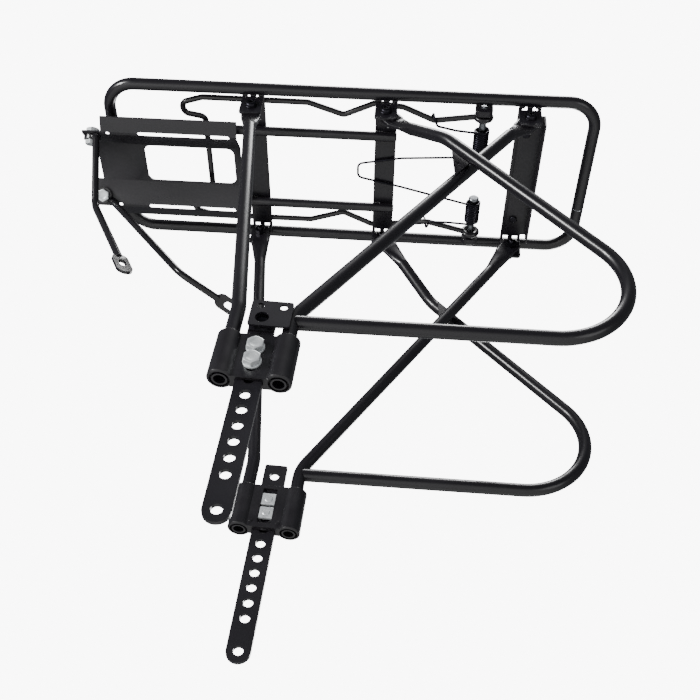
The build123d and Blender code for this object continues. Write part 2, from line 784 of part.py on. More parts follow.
def pivot_lug():
    middle_y = (lug_inner_y + tab_outer_y) / 2
    block = Pos(pivot_x, middle_y, pivot_height + 1) * Box(lug_length, tab_outer_y - lug_inner_y, lug_height)
    block = fillet(block.edges().filter_by(Axis.Y), 4)
    bore = pin_diameter + 2 * lug_hole_clearance
    return block - cylinder_y(pivot_x, pivot_height, bore, lug_inner_y - 1, tab_outer_y + 1)


def torsion_spring():
    """Two coils on the pivot pins, joined by one long leg that bears under the middle plate."""
    coil_mean = coil_radius - spring_wire_radius
    pitch = (coil_outer_y - pin_inner_y - 2 * spring_wire) / coil_turns
    spring = None
    for side in (-1, 1):
        for turn in range(coil_turns + 1):
            y = side * (pin_inner_y + spring_wire + turn * pitch)
            ring = across(pivot_x, y, pivot_height) * Torus(coil_mean, pitch * 0.54)
            spring = ring if spring is None else spring + ring
    bottom = pivot_height - coil_mean
    leg_height = plate_bottom - spring_wire_radius - 0.3
    inner_y = pin_inner_y + spring_wire
    half = [
        (pivot_x, inner_y, bottom),
        (pivot_x - 22, spring_leg_y - 2, bottom + 1),
        (spring_waist_x, spring_waist_y, leg_height - 0.5),
        (spring_tip_x, spring_tip_half_width, leg_height),
    ]
    other = [(x, -y, z) for x, y, z in reversed(half)]
    path = bent_path(half + other, [10, 30, 5, 5, 30, 10])
    spring += rod(path, spring_wire)
    outer_y = coil_outer_y - spring_wire
    reach = clamp_wire / 2 + spring_wire_radius + 0.4
    leg = [
        (pivot_x, outer_y, bottom),
        (pivot_x - 22, outer_y + 0.5, bottom + 2),
        (kink_x + 3, kink_y - 3, kink_height - reach),
        (kink_x, kink_y + reach + 0.6, kink_height - reach),
        (kink_x - 1, kink_y + reach + 0.6, kink_height + reach + 0.3),
        (kink_x - 2, kink_y - 1, kink_height + reach + 0.3),
    ]
    outer_leg = rod(bent_path(leg, [12, 2.5, 2.5, 2.5]), spring_wire)
    return spring + outer_leg + mirrored(outer_leg)


def lamp_bracket():
    """A bent sheet under the rear plate that carries a lamp or reflector."""
    leaf_front_x = rear_plate_centre_x - plate_width / 2 + 3
    leaf_top = plate_bottom - 0.1
    leaf = Pos(leaf_front_x + lamp_leaf_depth / 2, 0, leaf_top - lamp_sheet / 2) * Box(
        lamp_leaf_depth, 2 * lamp_half_width, lamp_sheet
    )
    flange_x = leaf_front_x + lamp_leaf_depth - lamp_sheet / 2
    flange = Pos(flange_x, 0, leaf_top - lamp_flange_drop / 2) * Box(
        lamp_sheet, 2 * lamp_half_width, lamp_flange_drop
    )
    bracket = leaf + flange
    for offset in (-lamp_hole_spacing / 2, lamp_hole_spacing / 2):
        hole_height = leaf_top - lamp_sheet - (lamp_flange_drop - lamp_sheet) / 2
        hole_plane = Plane(origin=(flange_x - 2, offset, hole_height), z_dir=(1, 0, 0))
        bracket -= hole_plane * extrude(Circle(lamp_hole_diameter / 2), 4)
    for offset in (-lamp_screw_spacing / 2, lamp_screw_spacing / 2):
        bracket -= Pos(rear_plate_centre_x, offset, leaf_top) * Cylinder(
            (lamp_screw_diameter + bolt_hole_clearance) / 2, 4 * lamp_sheet
        )
    return bracket


def lamp_screw(y):
    """A pan head screw from below, into the rear plate."""
    head_top = plate_bottom - 0.1 - lamp_sheet
    head = Pos(rear_plate_centre_x, y, head_top - lamp_head_height / 2) * Cylinder(
        lamp_head_diameter / 2, lamp_head_height
    )
    head = fillet(head.edges().group_by(Axis.Z)[0], lamp_head_height * 0.5)
    shank_top = plate_bottom - 0.05
    shank = Pos(rear_plate_centre_x, y, (head_top + shank_top) / 2) * Cylinder(
        lamp_screw_diameter / 2, shank_top - head_top
    )
    return head + shank


# Platform
save("top_loop", top_loop())
save("loop_joiner", loop_joiner())
save_pair("inner_rod", inner_rod())
save("front_plate", front_plate())
for place, centre_x in plate_centres.items():
    save(f"cross_plate_{place}", cross_plate(centre_x))

# Legs and hoops
diagonal = diagonal_strut()
hoop = pannier_hoop()
save_pair("front_strut", front_strut())
save_pair("diagonal_strut", diagonal)
save_pair("pannier_hoop", hoop)
save_pair("crossing_gusset", crossing_gusset(diagonal, hoop))
save("fitting_bolts", group(both_sides([fitting_bolt(x) for x in plate_centres.values()])))
save("fitting_washers", group(both_sides([fitting_washer(x) for x in plate_centres.values()])))
save("fitting_nuts", group(both_sides([fitting_nut(x) for x in plate_centres.values()])))

# Adjustable leg ends
save_pair("leg_bracket", leaned(leg_bracket()))
save_pair("leg_strip", leaned(leg_strip()))
save_pair("strip_bolts", group([leaned(strip_bolt(z)) for z in strip_bolt_heights]))
save_pair("strip_washers", group([leaned(strip_washer(z)) for z in strip_bolt_heights]))
save_pair("strip_nuts", group([leaned(strip_nut(z)) for z in strip_bolt_heights]))
save("accessory_plate", leaned(accessory_plate()))
save("accessory_screw", leaned(accessory_screw()))

# Stay arms
for name, side in (("left", -1), ("right", 1)):
    save(f"stay_arm_{name}", stay_arm(name, side))
save("stay_bolts", group([stay_bolt(side) for side in (-1, 1)]))
save("stay_nuts", group([stay_nut(side) for side in (-1, 1)]))

# Spring clamp
save("clamp", clamp())
save("torsion_spring", torsion_spring())
save_pair("pivot_pin", pivot_pin())
save_pair("pivot_lug", pivot_lug())

# Rear lamp bracket
save("lamp_bracket", lamp_bracket())
save("lamp_screws", group([lamp_screw(side * lamp_screw_spacing / 2) for side in (-1, 1)]))
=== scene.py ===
import bpy
import bmesh
import json
import math
from mathutils import Matrix, Vector


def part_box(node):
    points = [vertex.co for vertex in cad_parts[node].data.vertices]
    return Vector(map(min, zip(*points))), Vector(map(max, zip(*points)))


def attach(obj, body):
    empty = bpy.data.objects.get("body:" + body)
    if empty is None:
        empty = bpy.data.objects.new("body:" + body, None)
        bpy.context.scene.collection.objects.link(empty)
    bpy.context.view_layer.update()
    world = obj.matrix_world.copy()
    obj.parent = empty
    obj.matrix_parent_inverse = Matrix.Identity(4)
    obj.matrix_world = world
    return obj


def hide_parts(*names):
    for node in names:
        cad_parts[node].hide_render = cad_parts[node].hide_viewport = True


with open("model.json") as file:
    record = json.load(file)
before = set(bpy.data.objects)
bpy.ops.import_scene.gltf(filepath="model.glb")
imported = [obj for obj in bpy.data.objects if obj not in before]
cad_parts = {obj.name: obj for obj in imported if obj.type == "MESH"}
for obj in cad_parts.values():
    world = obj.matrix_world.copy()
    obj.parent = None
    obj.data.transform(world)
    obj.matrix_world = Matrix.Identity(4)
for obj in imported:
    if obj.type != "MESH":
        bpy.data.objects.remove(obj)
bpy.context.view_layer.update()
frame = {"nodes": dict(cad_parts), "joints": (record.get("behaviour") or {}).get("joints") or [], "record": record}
print("frame loaded")

mm = 0.001
behaviour = frame["record"]["behaviour"]
bodyOf = {node: body for body, nodes in behaviour["bodies"].items() for node in nodes}
jointAt = {joint["name"]: joint for joint in frame["joints"]}


def linearColour(hexColour):
    # sRGB hex to the linear values that shaders take
    parts = [int(hexColour[i:i + 2], 16) / 255 for i in (1, 3, 5)]
    return [c / 12.92 if c <= 0.04045 else ((c + 0.055) / 1.055) ** 2.4 for c in parts] + [1.0]


def addNode(tree, kind, inputs=None, **settings):
    node = tree.nodes.new(kind)
    for name, value in settings.items():
        setattr(node, name, value)
    for key, value in (inputs or {}).items():
        if isinstance(value, bpy.types.NodeSocket):
            tree.links.new(value, node.inputs[key])
        else:
            node.inputs[key].default_value = value
    return node


def perMetre(sizeMm):
    # a texture scale that repeats about once in sizeMm
    return 1000 / sizeMm


# Camera, below the platform on the left side and looking up
view = {
    "place": (94.4, -541.4, -316.5),
    "azimuth": 5.372,
    "elevation": -42.279,
    "roll": 7.202,
    "focalPixels": 1027.94,
    "centre": (327.99, 375.20),
    "frameSize": 700,
}
azimuth = math.radians(view["azimuth"])
elevation = math.radians(view["elevation"])
roll = math.radians(view["roll"])
back = Vector((
    math.sin(azimuth) * math.cos(elevation),
    -math.cos(azimuth) * math.cos(elevation),
    math.sin(elevation),
))
level = (-back).cross(Vector((0, 0, 1))).normalized()
upright = level.cross(-back)
right = math.cos(roll) * level + math.sin(roll) * upright
up = -math.sin(roll) * level + math.cos(roll) * upright
camera = bpy.data.objects.new("camera", bpy.data.cameras.new("camera"))
bpy.context.scene.collection.objects.link(camera)
turn = Matrix((right, up, back)).transposed().to_4x4()
camera.matrix_world = Matrix.Translation(Vector(view["place"]) * mm) @ turn
camera.data.sensor_width = 36
camera.data.lens = view["focalPixels"] * 36 / view["frameSize"]
camera.data.shift_x = 0.5 - view["centre"][0] / view["frameSize"]
camera.data.shift_y = view["centre"][1] / view["frameSize"] - 0.5
camera.data.clip_start = 0.01
bpy.context.scene.camera = camera
print("camera placed")

# Studio: white surroundings, soft lights and a pale floor well below
studio = {
    "backdrop": "#ffffff",
    "surroundings": "#dfe3ea",
    "backdropStrength": 9.0,
    "surroundStrength": 0.2,
    "floorDrop": 0.52,
    "floorReach": 4.0,
    "floorColour": "#f1f1ef",
    "lights": {
        "keyLight": ((-1.05, -0.85, 0.1), 0.38, 19),
        "fillLight": ((0.95, -0.75, -0.35), 0.7, 1.8),
        "topLight": ((0.15, -0.25, 1.45), 0.6, 13),
        "backLight": ((0.5, 1.25, 0.6), 0.5, 10),
    },
    "lookAt": (0.04, 0.0, 0.26),
}
world = bpy.data.worlds.new("studioWorld")
bpy.context.scene.world = world
world.use_nodes = True
worldTree = world.node_tree
worldTree.nodes.clear()
rays = addNode(worldTree, "ShaderNodeLightPath")
seen = addNode(worldTree, "ShaderNodeBackground", {
    "Color": linearColour(studio["backdrop"]), "Strength": studio["backdropStrength"]})
around = addNode(worldTree, "ShaderNodeBackground", {
    "Color": linearColour(studio["surroundings"]), "Strength": studio["surroundStrength"]})
chosen = addNode(worldTree, "ShaderNodeMixShader", {
    0: rays.outputs["Is Camera Ray"], 1: around.outputs[0], 2: seen.outputs[0]})
addNode(worldTree, "ShaderNodeOutputWorld", {"Surface": chosen.outputs[0]})
for name, (place, size, power) in studio["lights"].items():
    lamp = bpy.data.lights.new(name, "AREA")
    lamp.shape = "DISK"
    lamp.size = size
    lamp.energy = power
    lampObject = bpy.data.objects.new(name, lamp)
    aim = Vector(studio["lookAt"]) - Vector(place)
    lampObject.matrix_world = Matrix.Translation(place) @ aim.to_track_quat("-Z", "Y").to_matrix().to_4x4()
    bpy.context.scene.collection.objects.link(lampObject)
print("studio lit")


def startMaterial(name):
    material = bpy.data.materials.new(name)
    material.use_nodes = True
    tree = material.node_tree
    tree.nodes.clear()
    place = addNode(tree, "ShaderNodeTexCoord").outputs["Object"]
    return material, tree, place


def endMaterial(tree, shader):
    addNode(tree, "ShaderNodeOutputMaterial", {"Surface": shader.outputs[0]})


def blackCoat(name, sizes):
    # Polyester powder coat, sprayed and baked: deep black, satin, with a faint orange peel
    # that breaks up highlights. The peel is drawn coarser than life so that it shows.
    material, tree, place = startMaterial(name)
    drift = addNode(tree, "ShaderNodeTexNoise", {
        "Vector": place, "Scale": perMetre(sizes["driftMm"]), "Detail": 3.0})
    peel = addNode(tree, "ShaderNodeTexNoise", {
        "Vector": place, "Scale": perMetre(sizes["peelMm"]), "Detail": 2.0, "Roughness": 0.45})
    grain = addNode(tree, "ShaderNodeTexNoise", {
        "Vector": place, "Scale": perMetre(sizes["peelMm"] / 5), "Detail": 1.0})
    colour = addNode(tree, "ShaderNodeMix", {
        0: drift.outputs[0], 6: linearColour(sizes["dark"]), 7: linearColour(sizes["light"])},
        data_type="RGBA")
    gloss = addNode(tree, "ShaderNodeMapRange", {
        0: drift.outputs[0], 1: 0.3, 2: 0.7, 3: sizes["roughness"] - 0.04, 4: sizes["roughness"] + 0.05})
    height = addNode(tree, "ShaderNodeMath", {
        0: grain.outputs[0], 1: 0.3, 2: peel.outputs[0]}, operation="MULTIPLY_ADD")
    bump = addNode(tree, "ShaderNodeBump", {
        "Strength": sizes["peelStrength"], "Distance": sizes["peelDepthMm"] * mm,
        "Height": height.outputs[0]})
    shader = addNode(tree, "ShaderNodeBsdfPrincipled", {
        "Base Color": colour.outputs[2], "Roughness": gloss.outputs[0], "IOR": 1.5,
        "Coat Weight": sizes["coat"], "Coat Roughness": sizes["coatRoughness"],
        "Normal": bump.outputs[0], "Coat Normal": bump.outputs[0]})
    endMaterial(tree, shader)
    return material


def platedMetal(name, sizes):
    # Bare or plated metal. Fine lines run along the stated axis where it was drawn, turned or cut.
    material, tree, place = startMaterial(name)
    stretch = addNode(tree, "ShaderNodeMapping", {"Vector": place, "Scale": sizes["grainAxis"]})
    clouds = addNode(tree, "ShaderNodeTexNoise", {
        "Vector": place, "Scale": perMetre(sizes["cloudMm"]), "Detail": 4.0})
    lines = addNode(tree, "ShaderNodeTexNoise", {
        "Vector": stretch.outputs[0], "Scale": perMetre(sizes["lineMm"]), "Detail": 2.0})
    colour = addNode(tree, "ShaderNodeMix", {
        0: clouds.outputs[0], 6: linearColour(sizes["dark"]), 7: linearColour(sizes["light"])},
        data_type="RGBA")
    gloss = addNode(tree, "ShaderNodeMapRange", {
        0: clouds.outputs[0], 1: 0.3, 2: 0.7, 3: sizes["roughness"] - 0.06, 4: sizes["roughness"] + 0.08})
    bump = addNode(tree, "ShaderNodeBump", {
        "Strength": sizes["lineStrength"], "Distance": 0.05 * mm, "Height": lines.outputs[0]})
    shader = addNode(tree, "ShaderNodeBsdfPrincipled", {
        "Base Color": colour.outputs[2], "Metallic": sizes["metal"], "Roughness": gloss.outputs[0],
        "Normal": bump.outputs[0]})
    endMaterial(tree, shader)
    return material


coatFinishes = {
    "tubeCoat": {"dark": "#110f14", "light": "#18151b", "driftMm": 60, "peelMm": 2.2,
                 "peelStrength": 0.06, "peelDepthMm": 0.08, "roughness": 0.33,
                 "coat": 0.4, "coatRoughness": 0.14},
    "sheetCoat": {"dark": "#131116", "light": "#1b181f", "driftMm": 35, "peelMm": 2.4,
                  "peelStrength": 0.08, "peelDepthMm": 0.1, "roughness": 0.40,
                  "coat": 0.25, "coatRoughness": 0.2},
    "wireCoat": {"dark": "#100e12", "light": "#171419", "driftMm": 30, "peelMm": 1.8,
                 "peelStrength": 0.05, "peelDepthMm": 0.06, "roughness": 0.28,
                 "coat": 0.5, "coatRoughness": 0.12},
    "castingPaint": {"dark": "#110f13", "light": "#1a171d", "driftMm": 14, "peelMm": 1.1,
                     "peelStrength": 0.12, "peelDepthMm": 0.1, "roughness": 0.38,
                     "coat": 0.3, "coatRoughness": 0.18},
    "weldCoat": {"dark": "#131116", "light": "#1e1a21", "driftMm": 6, "peelMm": 0.9,
                 "peelStrength": 0.15, "peelDepthMm": 0.08, "roughness": 0.27,
                 "coat": 0.6, "coatRoughness": 0.1},
}
metalFinishes = {
    # zinc electroplate on forged and rolled steel: bright and cloudy, the brightness partly real zinc and partly
    # painted reflection.
    # Real plate is fully metallic; here metal is set lower and the colour is near white, a painted reflection of a
    # bright light, because the heads mirror dark surroundings in this studio
    "zincWithPaintedReflection": {"dark": "#ccd2d4", "light": "#f4f6f7", "cloudMm": 4, "lineMm": 0.5,
                        "grainAxis": (1, 1, 1), "lineStrength": 0.15, "roughness": 0.36, "metal": 0.45},
    # black oxide on steel screws: dark with a soft oily shine
    "blackOxide": {"dark": "#232227", "light": "#3b3a40", "cloudMm": 3, "lineMm": 0.4,
                   "grainAxis": (1, 1, 1), "lineStrength": 0.2, "roughness": 0.34, "metal": 1.0},
    # oil-tempered spring wire, drawn through a die
    "springWire": {"dark": "#1c1b1f", "light": "#33323a", "cloudMm": 5, "lineMm": 0.3,
                   "grainAxis": (1, 0.1, 1), "lineStrength": 0.25, "roughness": 0.3, "metal": 1.0},
    # steel turned on a lathe: fine rings across the pin's length
    "turnedSteel": {"dark": "#74777b", "light": "#9a9da1", "cloudMm": 5, "lineMm": 0.35,
                    "grainAxis": (0.1, 1, 0.1), "lineStrength": 0.3, "roughness": 0.3, "metal": 1.0},
}
finishes = {name: blackCoat(name, sizes) for name, sizes in coatFinishes.items()}
finishes.update({name: platedMetal(name, sizes) for name, sizes in metalFinishes.items()})
print("finishes made")


def placePiece(name, mesh, finish, body, nodes=()):
    mesh.materials.clear()
    mesh.materials.append(finishes[finish])
    piece = bpy.data.objects.new(name, mesh)
    bpy.context.scene.collection.objects.link(piece)
    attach(piece, body)
    if nodes:
        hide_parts(*nodes)
    return piece


def roundEdges(piece, widthMm):
    bevel = piece.modifiers.new("edge", "BEVEL")
    bevel.width = widthMm * mm
    bevel.segments = 2
    bevel.limit_method = "ANGLE"
    bevel.angle_limit = math.radians(38)
    bevel.harden_normals = True


def finishNode(node, finish, edgeMm=0.0, sharpDeg=34):
    # a merged, smooth copy of the solid, with its sheet edges eased
    mesh = frame["nodes"][node].data.copy()
    work = bmesh.new()
    work.from_mesh(mesh)
    bmesh.ops.remove_doubles(work, verts=work.verts, dist=2e-6)
    if edgeMm:
        bmesh.ops.dissolve_limit(
            work, angle_limit=math.radians(0.8), verts=work.verts, edges=work.edges)
    work.to_mesh(mesh)
    work.free()
    mesh.shade_smooth()
    mesh.set_sharp_from_angle(angle=math.radians(sharpDeg))
    piece = placePiece(node + "_finish", mesh, finish, bodyOf[node], [node])
    if edgeMm:
        roundEdges(piece, edgeMm)
    weighted = piece.modifiers.new("shading", "WEIGHTED_NORMAL")
    weighted.keep_sharp = True
    weighted.weight = 80
    return piece


tubeNodes = ["top_loop", "inner_rod_left", "inner_rod_right"]
for side in ("left", "right"):
    tubeNodes += ["front_strut_" + side, "diagonal_strut_" + side, "pannier_hoop_" + side]
for node in tubeNodes:
    finishNode(node, "tubeCoat", sharpDeg=32)
for node in ("stay_arm_left", "stay_arm_right", "clamp"):
    finishNode(node, "wireCoat", sharpDeg=32)
for node in ("front_plate", "cross_plate_front", "cross_plate_mid", "cross_plate_rear",
             "lamp_bracket", "accessory_plate", "crossing_gusset_left", "crossing_gusset_right",
             "leg_strip_left", "leg_strip_right", "pivot_lug_left", "pivot_lug_right"):
    finishNode(node, "sheetCoat", edgeMm=0.3)
for node in ("leg_bracket_left", "leg_bracket_right"):
    finishNode(node, "castingPaint", edgeMm=0.5)
for node in ("pivot_pin_left", "pivot_pin_right", "loop_joiner"):
    finishNode(node, "turnedSteel")
print("frame pieces finished")


def loftRings(work, rings, closed=False):
    # joins rings of points; a closed stack runs round like a washer, an open one is capped
    loops = [[work.verts.new(point) for point in ring] for ring in rings]
    count = len(rings[0])
    pairs = list(zip(loops, loops[1:]))
    if closed:
        pairs.append((loops[-1], loops[0]))
    for lower, upper in pairs:
        for i in range(count):
            after = (i + 1) % count
            work.faces.new((lower[i], lower[after], upper[after], upper[i]))
    if not closed:
        work.faces.new(loops[0][::-1])
        work.faces.new(loops[-1])


def ringAt(height, radiusAt, segments=48, heightAt=None):
    points = []
    for i in range(segments):
        angle = 2 * math.pi * i / segments
        radius = radiusAt(angle)
        z = height + (heightAt(angle) if heightAt else 0)
        points.append((radius * math.cos(angle) * mm, radius * math.sin(angle) * mm, z * mm))
    return points


def roundAt(radius):
    return lambda angle: radius


def hexAt(width):
    return lambda angle: width / 2 / math.cos(math.radians(math.degrees(angle) % 60 - 30))


def threadRings(radius, pitch, fromZ, toZ):
    # a helical thread, drawn as a ripple that climbs once round per pitch
    rings = []
    steps = max(2, int(round((toZ - fromZ) / pitch * 4)))
    for step in range(steps + 1):
        z = fromZ + (toZ - fromZ) * step / steps

        def radiusAt(angle, z=z):
            phase = (z / pitch - angle / (2 * math.pi)) % 1
            return radius - 0.31 * pitch * (1 - abs(2 * phase - 1))
        rings.append(ringAt(z, radiusAt))
    return rings


def meshFromRings(name, stacks):
    work = bmesh.new()
    for rings, closed in stacks:
        loftRings(work, rings, closed)
    bmesh.ops.recalc_face_normals(work, faces=work.faces)
    mesh = bpy.data.meshes.new(name)
    work.to_mesh(mesh)
    work.free()
    mesh.shade_smooth()
    mesh.set_sharp_from_angle(angle=math.radians(30))
    return mesh


def hexBoltMesh(name, bolt):
    # head above zero, threaded shank below
    width, height = bolt["headWidth"], bolt["headHeight"]
    flatRadius = width / 2 * 0.96
    radius = bolt["diameter"] / 2
    sideAt = hexAt(width)

    def chamferAt(angle):
        return -(sideAt(angle) - flatRadius) * 0.55
    rings = [ringAt(-bolt["length"], roundAt(radius * 0.78))]
    rings += threadRings(radius, bolt["pitch"], 0.4 - bolt["length"], -0.05)
    rings += [
        ringAt(0, roundAt(flatRadius)),
        ringAt(0.25, sideAt),
        ringAt(height, sideAt, heightAt=chamferAt),
        ringAt(height, roundAt(flatRadius)),
        ringAt(height, roundAt(flatRadius * 0.72)),
        ringAt(height - 0.25, roundAt(flatRadius * 0.62)),
        ringAt(height - 0.3, roundAt(flatRadius * 0.2)),
    ]
    return meshFromRings(name, [(rings, False)])


def nutMesh(name, nut):
    width, height = nut["width"], nut["height"]
    flatRadius = width / 2 * 0.96
    bore = nut["bore"] / 2
    sideAt = hexAt(width)
    rings = [
        ringAt(0.3, roundAt(bore)),
        ringAt(0, roundAt(bore + 0.3)),
        ringAt(0, roundAt(flatRadius)),
        ringAt(0, sideAt, heightAt=lambda angle: (sideAt(angle) - flatRadius) * 0.55),
        ringAt(height, sideAt, heightAt=lambda angle: -(sideAt(angle) - flatRadius) * 0.55),
        ringAt(height, roundAt(flatRadius)),
        ringAt(height, roundAt(bore + 0.3)),
        ringAt(height - 0.3, roundAt(bore)),
    ]
    return meshFromRings(name, [(rings, True)])


def washerMesh(name, washer):
    outer, bore, height = washer["outer"] / 2, washer["bore"] / 2, washer["height"]
    rings = [
        ringAt(0, roundAt(bore)),
        ringAt(0, roundAt(outer - 0.12)),
        ringAt(0.15, roundAt(outer)),
        ringAt(height - 0.25, roundAt(outer)),
        ringAt(height, roundAt(outer - 0.25)),
        ringAt(height, roundAt(bore + 0.1)),
        ringAt(height - 0.1, roundAt(bore)),
    ]
    return meshFromRings(name, [(rings, True)])


def domeScrewMesh(name, screw):
    # a button head with a hexagon recess
    head, height = screw["headDiameter"] / 2, screw["headHeight"]
    radius = screw["diameter"] / 2
    recessAt = hexAt(screw["socket"])
    rings = [ringAt(-screw["length"], roundAt(radius * 0.78))]
    rings += threadRings(radius, screw["pitch"], 0.4 - screw["length"], -0.05)
    rings += [ringAt(0, roundAt(head - 0.1)), ringAt(0.12, roundAt(head))]
    steps = 6
    crown = head * 0.48
    for step in range(1, steps + 1):
        angle = math.pi / 2 * step / steps
        r = crown + (head - crown) * math.cos(angle)
        z = 0.35 + (height - 0.35) * math.sin(angle)
        rings.append(ringAt(z, roundAt(r)))
    rings += [
        ringAt(height, lambda angle: recessAt(angle) + 0.08),
        ringAt(height - 0.12, recessAt),
        ringAt(height * 0.35, recessAt),
        ringAt(height * 0.35, roundAt(0.2)),
    ]
    return meshFromRings(name, [(rings, False)])


def startTree(name, sockets):
    tree = bpy.data.node_groups.new(name, "GeometryNodeTree")
    tree.interface.new_socket("Geometry", in_out="INPUT", socket_type="NodeSocketGeometry")
    for label, kind in sockets:
        tree.interface.new_socket(label, in_out="INPUT", socket_type=kind)
    tree.interface.new_socket("Geometry", in_out="OUTPUT", socket_type="NodeSocketGeometry")
    return tree, addNode(tree, "NodeGroupInput").outputs


def endTree(tree, geometry, material):
    whole = addNode(tree, "GeometryNodeRealizeInstances", {0: geometry})
    painted = addNode(tree, "GeometryNodeSetMaterial", {0: whole.outputs[0], "Material": material})
    addNode(tree, "NodeGroupOutput", {0: painted.outputs[0]})


def runTree(name, data, tree, values):
    # evaluates the tree on a mesh or curve and keeps the result as a plain mesh
    source = bpy.data.objects.new(name + "Source", data)
    bpy.context.scene.collection.objects.link(source)
    modifier = source.modifiers.new("tree", "NODES")
    modifier.node_group = tree
    for item in tree.interface.items_tree:
        if item.in_out == "INPUT" and item.name in values:
            modifier[item.identifier] = values[item.name]
    graph = bpy.context.evaluated_depsgraph_get()
    mesh = bpy.data.meshes.new_from_object(source.evaluated_get(graph))
    mesh.name = name
    source.modifiers.remove(modifier)
    bpy.data.objects.remove(source)
    return mesh


# Tree: one fastener on every point, turned by the point's own attribute
fastenerTree, given = startTree("fastenerRow", [
    ("Fastener", "NodeSocketObject"), ("Material", "NodeSocketMaterial")])
fastenerShape = addNode(fastenerTree, "GeometryNodeObjectInfo", {"Object": given["Fastener"]})
pointTurn = addNode(
    fastenerTree, "GeometryNodeInputNamedAttribute", {"Name": "turn"}, data_type="FLOAT_VECTOR")
turned = addNode(fastenerTree, "FunctionNodeEulerToRotation", {0: pointTurn.outputs[0]})
rowOfThem = addNode(fastenerTree, "GeometryNodeInstanceOnPoints", {
    "Points": given["Geometry"], "Instance": fastenerShape.outputs["Geometry"],
    "Rotation": turned.outputs[0]})
endTree(fastenerTree, rowOfThem.outputs[0], given["Material"])

# Tree: round wire along a path
wireTree, given = startTree("bentWire", [
    ("Wire Radius", "NodeSocketFloat"), ("Sides", "NodeSocketInt"), ("Material", "NodeSocketMaterial")])
wireSection = addNode(wireTree, "GeometryNodeCurvePrimitiveCircle", {
    "Resolution": given["Sides"], "Radius": given["Wire Radius"]})
wireSweep = addNode(wireTree, "GeometryNodeCurveToMesh", {
    "Curve": given["Geometry"], "Profile Curve": wireSection.outputs[0], "Fill Caps": True})
endTree(wireTree, wireSweep.outputs[0], given["Material"])

# Tree: a weld bead, laid as overlapping round pools along a seam
weldTree, given = startTree("weldBead", [
    ("Bead Radius", "NodeSocketFloat"), ("Step", "NodeSocketFloat"), ("Seed", "NodeSocketInt"),
    ("Material", "NodeSocketMaterial")])
seam = addNode(weldTree, "GeometryNodeResampleCurve", {
    "Curve": given["Geometry"], "Length": given["Step"]}, mode="LENGTH")
pool = addNode(weldTree, "GeometryNodeMeshIcoSphere", {"Radius": given["Bead Radius"], "Subdivisions": 3})
poolSize = addNode(weldTree, "FunctionNodeRandomValue", {
    "Min": (0.72, 0.88, 0.88), "Max": (0.84, 1.1, 1.1), "Seed": given["Seed"]}, data_type="FLOAT_VECTOR")
along = addNode(weldTree, "GeometryNodeInputTangent")
poolTurn = addNode(weldTree, "FunctionNodeAlignRotationToVector", {"Vector": along.outputs[0]}, axis="X")
pools = addNode(weldTree, "GeometryNodeInstanceOnPoints", {
    "Points": seam.outputs[0], "Instance": pool.outputs[0],
    "Rotation": poolTurn.outputs[0], "Scale": poolSize.outputs[0]})
endTree(weldTree, pools.outputs[0], given["Material"])
print("node trees made")


def placeFasteners(name, mesh, spots, finish, body, nodes=()):
    # spots: (place in mm, the direction the head faces)
    shape = bpy.data.objects.new(name + "Shape", mesh)
    bpy.context.scene.collection.objects.link(shape)
    points = bpy.data.meshes.new(name + "Points")
    points.from_pydata([Vector(place) * mm for place, _ in spots], [], [])
    turns = points.attributes.new("turn", "FLOAT_VECTOR", "POINT")
    for item, (_, facing) in zip(turns.data, spots):
        item.vector = Vector(facing).to_track_quat("Z", "X").to_euler()
    result = runTree(name, points, fastenerTree, {"Fastener": shape, "Material": finishes[finish]})
    bpy.data.objects.remove(shape)
    return placePiece(name, result, finish, body, nodes)


def boxMm(node):
    low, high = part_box(node)
    return low / mm, high / mm


def islands(node):
    # the middle, in mm, of each separate solid in a node
    mesh = frame["nodes"][node].data
    work = bmesh.new()
    work.from_mesh(mesh)
    bmesh.ops.remove_doubles(work, verts=work.verts, dist=2e-6)
    left = set(work.verts)
    middles = []
    while left:
        found = {left.pop()}
        edge = set(found)
        while edge:
            edge = {e.other_vert(v) for v in edge for e in v.link_edges} - found
            found |= edge
        left -= found
        low = Vector([min(v.co[i] for v in found) for i in range(3)])
        high = Vector([max(v.co[i] for v in found) for i in range(3)])
        middles.append(((low + high) / 2 / mm, (high - low) / mm))
    work.free()
    return sorted(middles, key=lambda item: tuple(item[0]))


def curveThrough(name, points):
    # an open run of straight pieces through points in mm
    curve = bpy.data.curves.new(name, "CURVE")
    curve.dimensions = "3D"
    spline = curve.splines.new("POLY")
    spline.points.add(len(points) - 1)
    for item, point in zip(spline.points, points):
        item.co = (point[0] * mm, point[1] * mm, point[2] * mm, 1)
    return curve


def weldSeams(name, seams, radiusMm):
    # beads along seams given as runs of points in mm, joined into one piece of the frame
    joined = bmesh.new()
    for index, seam in enumerate(seams):
        bead = runTree(name, curveThrough(name + "Path", seam), weldTree, {
            "Bead Radius": radiusMm * mm, "Step": radiusMm * weld["stepShare"] * mm,
            "Seed": weld["seed"] + index, "Material": finishes["weldCoat"]})
        joined.from_mesh(bead)
        bpy.data.meshes.remove(bead)
    mesh = bpy.data.meshes.new(name)
    joined.to_mesh(mesh)
    joined.free()
    mesh.shade_smooth()
    return placePiece(name, mesh, "weldCoat", "frame")


